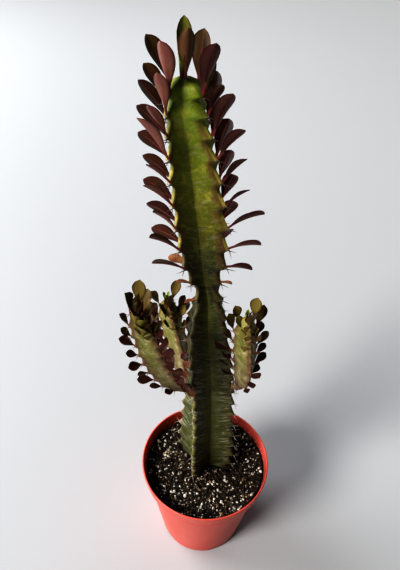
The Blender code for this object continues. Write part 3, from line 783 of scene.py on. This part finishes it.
def makeAllLeaves():
    # the four rows, the tip's leaves and then the branches' leaves
    material = leafMaterial()
    for row, places in mainLeafPlaces(leafRows, mainStem):
        nodes = [f"leaf_{row}{index + 1:02d}" for index in range(len(places["length"]))]
        makeLeaves(leafRows[row]["title"], places, material, nodes, leafShape)
    tip = stemAt(mainStem, mainStem["stations"][-1:, 0])[0][0]
    turn, length, width, young = np.array(tipLeaves).T
    length = length * mm
    places = leavesRound(
        tip, np.radians(turn), 2.4 * mm, 1.5 * mm, elevation=84, length=length + 3 * mm, width=length * width,
        droop=4, roll=0, fold=0.5, wave=0.02, young=young, tone=0.5, spent=0)
    nodes = [f"apex_leaf_{index + 1}" for index in range(3)]
    makeLeaves("tip_leaves", places, material, nodes, leafShape)
    makeBranchLeaves(material)


def youngTipLeaves(branch, chance):
    # a few tiny bright leaves standing round a branch's tip
    count, (low, high) = branchLeafForm["tipCount"], branchLeafForm["tipRise"]
    turn = np.arange(count) * 2 * math.pi / count + chance.random() * 2
    length = branchLeafForm["tipSize"] * (0.75 + 0.5 * chance.random(count)) * mm
    elevation = low + (high - low) * chance.random(count)
    return leavesRound(
        branch.frame(1.0)[0], turn, 1.5 * mm, 1.0 * mm, elevation=elevation, length=length,
        width=length * 0.42, droop=0, roll=0, fold=0.45, wave=0, young=1, tone=0.5, spent=0)


def branchLeafRows(branch, crown):
    # foot, outward direction and tooth of every leaf: one above each tooth of every rib, and then the
    # crown's, turned by the golden share of a half circle from one to the next
    f, rows = branchLeafForm, []
    for rib in range(branchForm["ribs"]):
        teeth = np.arange(branch.teeth - f["footLeaves"])
        crests, outward, tangents = branch.crests(rib, teeth)
        rows.append(np.column_stack((crests - outward * 0.6 * mm + tangents * 1.0 * mm, outward, teeth)))
    level = f["crownDepth"] * (np.arange(crown) + 0.5) / crown
    turns = -math.pi * (0.02 + 0.96 * ((np.arange(crown) * 0.618 + 0.3) % 1))
    feet, outward, _ = branch.around(turns, level, 0.45)
    rows.append(np.column_stack((feet, outward, level * 0.5)))
    return np.concatenate(rows)


def makeBranchLeaves(material):
    # the leaves of each branch, upright and larger at the tip, level and smaller below, and a crown of more
    # leaves on the side that faces forward at the tip
    chance, f = np.random.default_rng(23), branchLeafForm
    for name, branch in madeBranches.items():
        rows = branchLeafRows(branch, f["crown"][name])
        count = len(rows)
        outward, tooth = rows[:, 3:6], rows[:, 6]
        inCrown = np.arange(count) >= count - f["crown"][name]
        draws = chance.random((count, 7))
        nearTip = np.exp(-tooth / f["fadingTeeth"])
        length = (f["length"] + (f["tipLength"] - f["length"]) * nearTip) * (0.75 + 0.4 * draws[:, 0]) * mm
        rise = f["elevation"] + (f["tipElevation"] - f["elevation"]) * nearTip
        young = f["young"] - f["youngFall"] * tooth - f["youngSpread"] * draws[:, 5]
        young += f["crownYoung"] * inCrown * draws[:, 3]
        level = np.hypot(outward[:, 0], outward[:, 1])
        old = (tooth > branch.teeth - f["spentTeeth"]) & (draws[:, 0] > 0.78)
        places = {
            "foot": rows[:, :3],
            "turn": np.arctan2(outward[:, 1], outward[:, 0]) + (draws[:, 1] - 0.5) * (0.6 + 0.4 * inCrown),
            "elevation": rise + f["riseSpread"] * (draws[:, 2] - 0.4) + f["crownRise"] * inCrown,
            "length": length, "width": length * f["widthShare"] * (0.85 + 0.3 * draws[:, 3]),
            "droop": f["droop"] * draws[:, 4],
            "roll": 0.6 * outward[:, 0] / level + (draws[:, 5] - 0.5) * 0.8,
            "fold": 0.2 + 0.35 * draws[:, 6], "wave": 0.06 * draws[:, 4],
            "young": np.clip(young, 0, 1), "tone": f["tone"] * draws[:, 2], "spent": old * f["spent"],
        }
        tips = youngTipLeaves(branch, chance)
        places = {key: np.concatenate((values, tips[key])) for key, values in places.items()}
        title = name.replace("branch", "leaf")
        nodes = [f"{title}_{index + 1}" for index in range(f["nodes"][name])]
        makeLeaves(name + "_leaves", places, material, nodes, {**leafShape, **f["shape"]})


makeAllLeaves()
print("leaves made")


spineShape = {
    "length": 7.2 * mm, "radius": 0.38 * mm, "sides": 6, "spread": 34, "drop": 16,
    # share of the length, and the radius over the full one there
    "reach": np.array((-0.25, 0.0, 0.5, 1.0)), "girth": np.array((1.5, 1.0, 0.6, 0.06)),
    "branchSize": 0.72, "mainPale": 0.8, "branchPale": 0.2, "paleBelow": (0.42, 0.30),
}


def spineMaterial():
    # spine: grey-brown horn, paler and rougher toward the base
    recipe = Recipe("spine_horn")
    mix, ramp, _, noise, place = recipe.tools()
    streak = noise(place(), 900, 3)
    colour = mix(ramp(streak, 0.35, 0.65), (0.060, 0.035, 0.030), (0.180, 0.130, 0.105))
    colour = mix(recipe.attribute("pale"), colour, (0.420, 0.380, 0.320))
    return recipe.finish(colour, 0.5)


def makeSpines(name, feet, outward, upward, pale, size, material):
    # two cones from each foot, spread to either side and a little down; size scales them
    chance = np.random.default_rng(31)
    count, s = len(feet), spineShape
    feet, outward, upward = (np.repeat(v, 2, axis=0) for v in (feet, outward, upward))
    side = np.cross(outward, upward) * np.tile((1, -1), count)[:, None]
    spread = np.radians(s["spread"] + 14 * (chance.random(2 * count) - 0.5))[:, None]
    drop = np.radians(s["drop"] + 24 * (chance.random(2 * count) - 0.5))[:, None]
    direction = unit(outward * np.cos(spread) + side * np.sin(spread) - upward * np.sin(drop))
    length = s["length"] * size * (0.7 + 0.5 * chance.random(2 * count))
    first = unit(np.cross(direction, upward))
    second = np.cross(direction, first)
    turn = equalTurns(s["sides"])[:, None]
    ring = np.cos(turn) * first[:, None] + np.sin(turn) * second[:, None]
    along = s["reach"][:, None] * length[:, None, None] * direction[:, None]
    girth = (s["girth"] * s["radius"] * size)[:, None, None]
    rings = feet[:, None, None] + along[:, :, None] + girth * ring[:, None]
    faces = tubeFaces(2 * count, len(s["reach"]), s["sides"])
    attributes = {"pale": np.broadcast_to(np.repeat(pale, 2)[:, None, None], rings.shape[:3])}
    newPiece(name, rings, faces, material, (), 60, attributes)


def makeAllSpines():
    # a pair at every tooth's tip above the soil, and at every tooth of the branches
    material, s = spineMaterial(), spineShape
    teeth = toothHeights(mainStem)
    teeth = teeth[teeth > soilHigh[2] + 2 * mm]
    feet, outs = [], []
    for rib in range(mainStem["ribs"]):
        centres, _, outward, radii = mainCrest(mainStem, rib, teeth)
        feet.append(centres + outward * (radii[:, None] - 0.2 * mm) - (0, 0, 0.6 * mm))
        outs.append(outward)
    feet, outs = np.concatenate(feet), np.concatenate(outs)
    ups = np.tile((0.0, 0.0, 1.0), (len(feet), 1))
    paleFrom, paleTo = s["paleBelow"]
    pale = np.tile(softStep(-teeth, -paleFrom, -paleTo), mainStem["ribs"]) * s["mainPale"]
    makeSpines("main_stem_spines", feet, outs, ups, pale, 1.0, material)
    for name, branch in madeBranches.items():
        rows = [branch.crests(rib, np.arange(branch.teeth)) for rib in range(branchForm["ribs"])]
        feet, outs, ups = (np.concatenate([row[k] for row in rows]) for k in range(3))
        pale = np.full(len(feet), s["branchPale"])
        feet = feet - ups * 0.4 * mm
        makeSpines(name + "_spines", feet, outs, ups, pale, s["branchSize"], material)


makeAllSpines()
print("spines made")


soilShape = {
    "steps": 180, "rings": 90, "top": 116 * mm, "roughness": 1.0 * mm,
    # wavelengths and heights of the crust's waves in mm, and how many run each way
    "waves": ((34, 0.5), (19, 0.45), (11, 0.4), (6.5, 0.36), (4.0, 0.30), (2.7, 0.20)), "waveTurns": 9,
    "stem": np.array((-0.5, 11)) * mm, "rise": 1.2, "riseRadius": 36 * mm,
    "bank": 2.6, "bankTurn": 5, "bankFrom": (56 * mm, 71 * mm),
    "wall": ((67.0, 109.0), (51.0, 6.0), (46.0, soilLow[2] / mm), (0.4, soilLow[2] / mm)),
}
bits = {
    # sizes in mm; squash is how uneven, sink the share under the crust, sides those of the round body
    "soil_crumbs": {
        "count": 1700, "sizes": (1.2, 5.2), "squash": 0.7, "sink": 0.35, "sides": 4, "cluster": 0,
        "look": ("peat_crumb", (0.070, 0.045, 0.028), (0.008, 0.006, 0.005), 0.9), "seed": 7},
    "perlite_bits": {
        "count": 1250, "sizes": (0.55, 3.7), "squash": 0.6, "sink": 0.34, "sides": 6, "cluster": 0.5,
        "look": ("perlite_white", (0.860, 0.830, 0.760), (0.220, 0.185, 0.130), 0.8), "seed": 8},
    "bark_bits": {
        "count": 650, "sizes": (0.6, 3.8), "squash": 1.3, "sink": 0.30, "sides": 4, "cluster": 0,
        "look": ("bark_tan", (0.380, 0.265, 0.150), (0.110, 0.068, 0.038), 0.8), "seed": 9},
}
bitsReach = 69 * mm
stemClear = {"turn": -113, "valley": 13 * mm, "rib": 22 * mm}      # radius kept free round the stem


def soilMaterial():
    # damp peat: near-black crumbs with brown fibres and a few mineral glints
    recipe = Recipe("potting_soil_peaty")
    mix, ramp, _, noise, place = recipe.tools()
    spot = place()
    clod = noise(spot, 260, 6, 0.7)
    grain = recipe.cells(spot, 700)
    fibre = noise(place((1, 3, 1)), 800, 4, 0.7, 1.2)
    colour = mix(ramp(clod, 0.35, 0.68), (0.010, 0.007, 0.005), (0.040, 0.026, 0.016))
    colour = mix(ramp(fibre, 0.60, 0.72, 0.0, 0.6), colour, (0.130, 0.085, 0.050))
    rough = recipe.bump(grain, 0.0006, 0.8)
    normal = recipe.bump(clod, 0.0012, 1.0, under=rough)
    return recipe.finish(colour, 0.9, normal)


def bitMaterial(name, light, dark, roughness):
    # loose bits: a tone for each bit, mottled, with a pitted surface
    recipe = Recipe(name)
    mix, ramp, times, noise, place = recipe.tools()
    spot = place()
    tone = recipe.attribute("tone")
    mottle = noise(spot, 600, 4, 0.65)
    pits = recipe.cells(spot, 1300)
    share = recipe.math("ADD", times(tone, 0.65), ramp(mottle, 0.35, 0.7, 0.0, 0.45), clamp=True)
    colour = mix(share, light, dark)
    normal = recipe.bump(pits, 0.0004, 0.8)
    return recipe.finish(colour, roughness, normal)


def soilHeight(x, y):
    # sum of many random waves, short ones weaker, over a rise toward the stem and a bank at one side
    chance, s = np.random.default_rng(3), soilShape
    height = np.zeros_like(x)
    for wavelength, size in s["waves"]:
        turns, offsets = (chance.random(s["waveTurns"]) * 2 * math.pi for _ in range(2))
        for turn, offset in zip(turns, offsets):
            wave = (x * math.cos(turn) + y * math.sin(turn)) * 2 * math.pi / (wavelength * mm)
            height += size / s["waveTurns"] ** 0.5 * np.cos(wave + offset)
    fromStem = np.hypot(x - s["stem"][0], y - s["stem"][1])
    rise = s["rise"] * np.exp(-((fromStem / s["riseRadius"]) ** 2))
    banked = s["bank"] * (1 + np.cos(np.arctan2(y, x) - math.radians(s["bankTurn"])))
    edge = banked * softStep(np.hypot(x, y), *s["bankFrom"])
    return s["top"] + s["roughness"] * height + (rise + edge) * mm


def makeSoil(s):
    # rings of equal steps out to the pot's wall on top, then down the wall to the floor
    radii = np.linspace(0.4 * mm, soilHigh[0] - 0.1 * mm, s["rings"])
    crust = revolve(np.column_stack((radii, 0 * radii)), s["steps"])
    crust[..., 2] = soilHeight(crust[..., 0], crust[..., 1])
    rings = np.concatenate((crust, revolve(np.array(s["wall"]) * mm, s["steps"])))[::-1]
    faces = tubeFaces(1, len(rings), s["steps"])
    newPiece("soil_bed", rings, faces, soilMaterial(), ["soil"], 50)


def scatter(name, s):
    # copies of a small round body, each with its own size, turn and jittered outline, laid on the soil
    # where the stem's section does not stand; a turn is v + 2q x (q x v + w v) for a random quaternion
    chance = np.random.default_rng(s["seed"])
    ball = bmesh.new()
    bmesh.ops.create_uvsphere(ball, u_segments=s["sides"], v_segments=s["sides"] - 1, radius=1)
    bmesh.ops.triangulate(ball, faces=ball.faces)
    points = np.array([v.co[:] for v in ball.verts])
    corners = np.array([[v.index for v in f.verts] for f in ball.faces])
    ball.free()
    tries = 6 * s["count"]
    turn, reach = chance.random(tries) * 2 * math.pi, np.sqrt(chance.random(tries)) * bitsReach
    x, y = reach * np.cos(turn), reach * np.sin(turn)
    stemX, stemY = x - soilShape["stem"][0], y - soilShape["stem"][1]
    ribWay = np.abs(np.cos(2 * (np.arctan2(stemY, stemX) - math.radians(stemClear["turn"])))) ** 3.4
    free = np.hypot(stemX, stemY) > stemClear["valley"] + stemClear["rib"] * ribWay
    if s["cluster"]:
        thick = soilHeight(x * 0.5 + 0.3, y * 0.5) - soilShape["top"]
        free &= chance.random(tries) < np.clip(0.45 + s["cluster"] * thick / mm, 0.1, 1)
    x, y = x[free][:s["count"]], y[free][:s["count"]]
    count, (small, large) = len(x), s["sizes"]
    size = small + (large - small) * chance.random(count) ** 3.4
    stretch = 1 + s["squash"] * (chance.random((count, 3)) - 0.5)
    body = points[None] * (1 + 0.35 * (chance.random((count, len(points), 1)) - 0.5)) * stretch[:, None]
    spin = unit(chance.normal(size=(count, 4)))[:, None]
    body = body + 2 * np.cross(spin[..., 1:], np.cross(spin[..., 1:], body) + spin[..., :1] * body)
    centres = np.stack((x, y, soilHeight(x, y) + (0.5 - s["sink"]) * size * mm), axis=-1)
    body = body * (size / 2)[:, None, None] * mm + centres[:, None]
    faces = (corners[None] + (np.arange(count) * len(points))[:, None, None]).reshape(-1, 3).tolist()
    tone = np.broadcast_to(chance.random(count)[:, None], (count, len(points)))
    newPiece(name, body, faces, bitMaterial(*s["look"]), (), 40, {"tone": tone})


makeSoil(soilShape)
for name, values in bits.items():
    scatter(name, values)
print("soil made")


stage = {
    "floorRadius": 24.0, "floorSides": 96, "floorColour": (0.452, 0.458, 0.470),
    "worldColour": (0.92, 0.95, 1.0), "worldPower": 0.05, "skyPower": 0.50,
    "sunTurn": -143, "sunHeight": 38, "sunPower": 2.75, "sunAngle": 22, "sunColour": (1.0, 0.985, 0.955),
    "sidePlace": (-3.0, 1.4, 1.7), "sidePower": 480, "sideRadius": 1.6, "sideColour": (0.95, 0.975, 1.0),
    "fillTurn": 66, "fillHeight": 14, "fillPower": 0.65, "fillAngle": 60,
    "camera": (-0.0160, -0.3351, 0.6775), "pitch": 0.688, "roll": 0.046, "sensor": 36, "lens": 36 * 500 / 570,
}


def addLight(name, kind, place, power, colour):
    # a lamp at its place, turned to look at the origin
    lamp = bpy.data.lights.new(name, kind)
    lamp.energy, lamp.color = power, colour
    holder = newObject(name, lamp)
    holder.location = place
    holder.rotation_euler = (-Vector(place)).to_track_quat("-Z", "Y").to_euler()
    return lamp


def makeStage(s):
    # a round pale floor that runs to the horizon, under an even sky that the camera sees brighter than it
    # lights; two suns with soft edges and a broad lamp at the side
    mesh = bpy.data.meshes.new("floor")
    rim = compass(equalTurns(s["floorSides"])) * s["floorRadius"]
    mesh.from_pydata(rim.tolist(), [], [list(range(s["floorSides"]))])
    mesh.materials.append(Recipe("pale_floor").finish(s["floorColour"], 0.6))
    newObject("floor", mesh)
    world = bpy.data.worlds.new("studio")
    world.use_nodes = True
    tree = world.node_tree
    ambient, output = tree.nodes["Background"], tree.nodes["World Output"]
    sky, seen, blend = (
        tree.nodes.new("ShaderNode" + kind) for kind in ("Background", "LightPath", "MixShader"))
    for node, power in ((ambient, s["worldPower"]), (sky, s["skyPower"])):
        node.inputs["Color"].default_value = (*s["worldColour"], 1)
        node.inputs["Strength"].default_value = power
    for source, target in zip(
            (seen.outputs["Is Camera Ray"], ambient.outputs[0], sky.outputs[0], blend.outputs[0]),
            (*blend.inputs, output.inputs["Surface"])):
        tree.links.new(source, target)
    bpy.context.scene.world = world
    for name in ("sun", "fill"):
        turn, height = math.radians(s[name + "Turn"]), math.radians(s[name + "Height"])
        away = compass(turn) * math.cos(height) + (0, 0, math.sin(height))
        lamp = addLight(name, "SUN", away * 3, s[name + "Power"], s["sunColour"])
        lamp.angle = math.radians(s[name + "Angle"])
    side = addLight("side", "POINT", s["sidePlace"], s["sidePower"], s["sideColour"])
    side.shadow_soft_size = s["sideRadius"]


def makeCamera(s):
    # looks along +Y and down by the pitch, rolled a little
    forward = Vector((0, math.cos(s["pitch"]), -math.sin(s["pitch"])))
    up = Vector((0, math.sin(s["pitch"]), math.cos(s["pitch"])))
    right = Vector((1, 0, 0))
    turnedRight = right * math.cos(s["roll"]) + up * math.sin(s["roll"])
    turnedUp = up * math.cos(s["roll"]) - right * math.sin(s["roll"])
    eye = bpy.data.cameras.new("camera")
    eye.lens, eye.sensor_width, eye.clip_start = s["lens"], s["sensor"], 0.01
    holder = newObject("camera", eye)
    matrix = Matrix((turnedRight, turnedUp, -forward)).transposed().to_4x4()
    matrix.translation = s["camera"]
    holder.matrix_world = matrix
    bpy.context.scene.camera = holder


makeStage(stage)
makeCamera(stage)
bpy.context.scene.view_settings.view_transform = "Standard"
bpy.context.scene.view_settings.look = "Very High Contrast"
bpy.context.view_layer.update()
